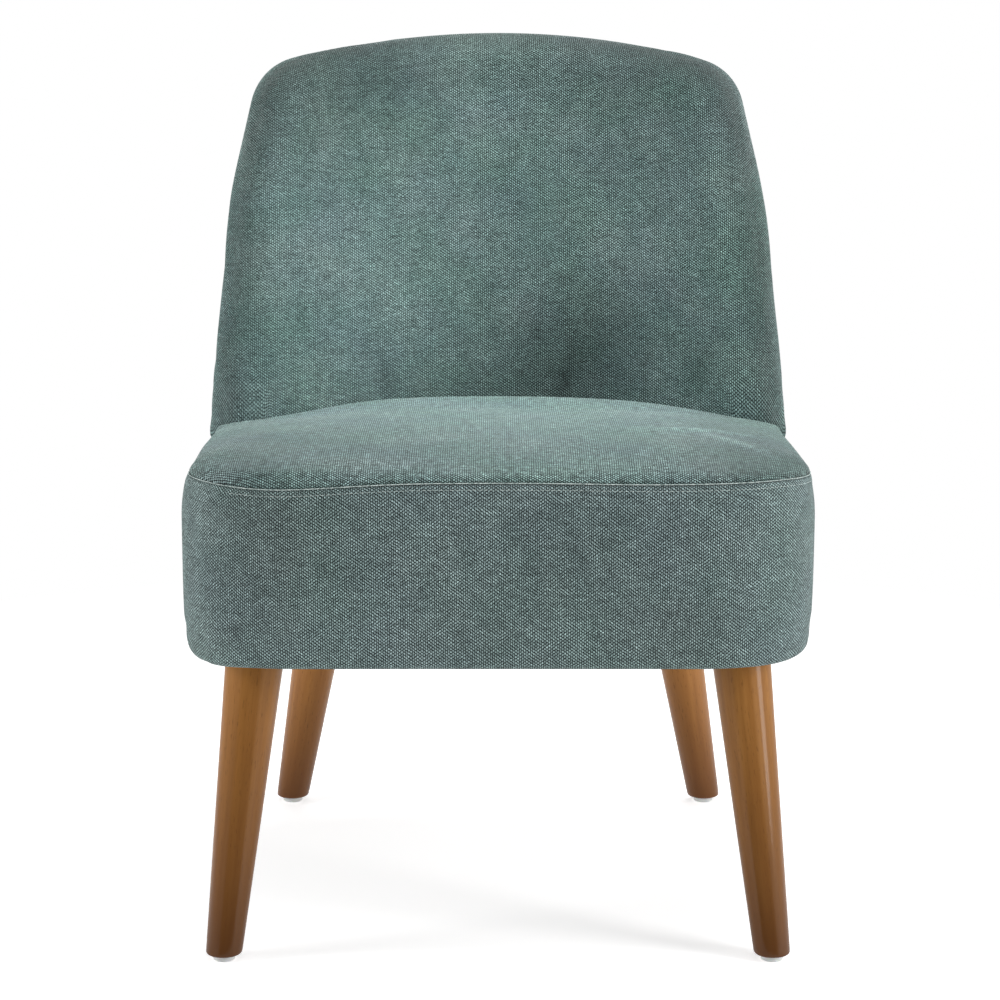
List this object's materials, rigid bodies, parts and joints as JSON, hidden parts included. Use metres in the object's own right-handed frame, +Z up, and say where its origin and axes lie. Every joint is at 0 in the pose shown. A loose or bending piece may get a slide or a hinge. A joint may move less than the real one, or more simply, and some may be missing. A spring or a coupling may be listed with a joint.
{
  "type": "upholstered armless accent chair",
  "caption": "Low armless chair with a concave padded back, a boxed padded seat in woven fabric and splayed round tapered wooden legs on plastic glides.",
  "frame": {"origin": "on the floor, under the middle of the chair's overall box", "axes": "+Z up, the sitter faces -Y, +X is the right-hand side as seen from in front"},
  "size_m": [0.5926, 0.6458, 0.809],
  "materials": {
    "woven_upholstery": "matte",
    "stained_beech": "satin",
    "glide_plastic": "satin",
    "frame_pine": "matte",
    "zinc_steel": "satin",
    "spring_steel": "satin",
    "seat_foam": "matte",
    "white_wadding": "matte",
    "grey_felt": "matte",
    "dust_cloth": "matte",
    "elastic_webbing": "matte",
    "fibre_board": "matte"
  },
  "bodies": {
    "root": {"back_bottom_rail": "frame_pine", "back_foam": "seat_foam", "back_inside_cover": "woven_upholstery", "back_lumbar_rail": "frame_pine", "back_outside_cover": "woven_upholstery", "back_post_left": "frame_pine", "back_post_right": "frame_pine", "back_strap_left": "elastic_webbing", "back_strap_middle": "elastic_webbing", "back_strap_right": "elastic_webbing", "back_tack_panel": "fibre_board", "back_top_rail": "frame_pine", "back_wadding": "white_wadding", "coach_screw_1": "zinc_steel", "coach_screw_2": "zinc_steel", "coach_screw_3": "zinc_steel", "coach_screw_4": "zinc_steel", "corner_block_front_left": "frame_pine", "corner_block_front_right": "frame_pine", "corner_block_rear_left": "frame_pine", "corner_block_rear_right": "frame_pine", "dust_cover": "dust_cloth", "glide_front_left": "glide_plastic", "glide_front_right": "glide_plastic", "glide_rear_left": "glide_plastic", "glide_rear_right": "glide_plastic", "leg_bolt_front_left": "zinc_steel", "leg_bolt_front_right": "zinc_steel", "leg_bolt_rear_left": "zinc_steel", "leg_bolt_rear_right": "zinc_steel", "leg_front_left": "stained_beech", "leg_front_right": "stained_beech", "leg_plate_front_left": "zinc_steel", "leg_plate_front_right": "zinc_steel", "leg_plate_rear_left": "zinc_steel", "leg_plate_rear_right": "zinc_steel", "leg_rear_left": "stained_beech", "leg_rear_right": "stained_beech", "rail_padding": "white_wadding", "seat_band": "woven_upholstery", "seat_foam": "seat_foam", "seat_front_rail": "frame_pine", "seat_rear_rail": "frame_pine", "seat_side_rail_left": "frame_pine", "seat_side_rail_right": "frame_pine", "seat_spring_1": "spring_steel", "seat_spring_2": "spring_steel", "seat_spring_3": "spring_steel", "seat_spring_4": "spring_steel", "seat_top_cover": "woven_upholstery", "spring_clip_front_1": "zinc_steel", "spring_clip_front_2": "zinc_steel", "spring_clip_front_3": "zinc_steel", "spring_clip_front_4": "zinc_steel", "spring_clip_rear_1": "zinc_steel", "spring_clip_rear_2": "zinc_steel", "spring_clip_rear_3": "zinc_steel", "spring_clip_rear_4": "zinc_steel", "spring_insulator": "grey_felt"}
  },
  "joints": []
}
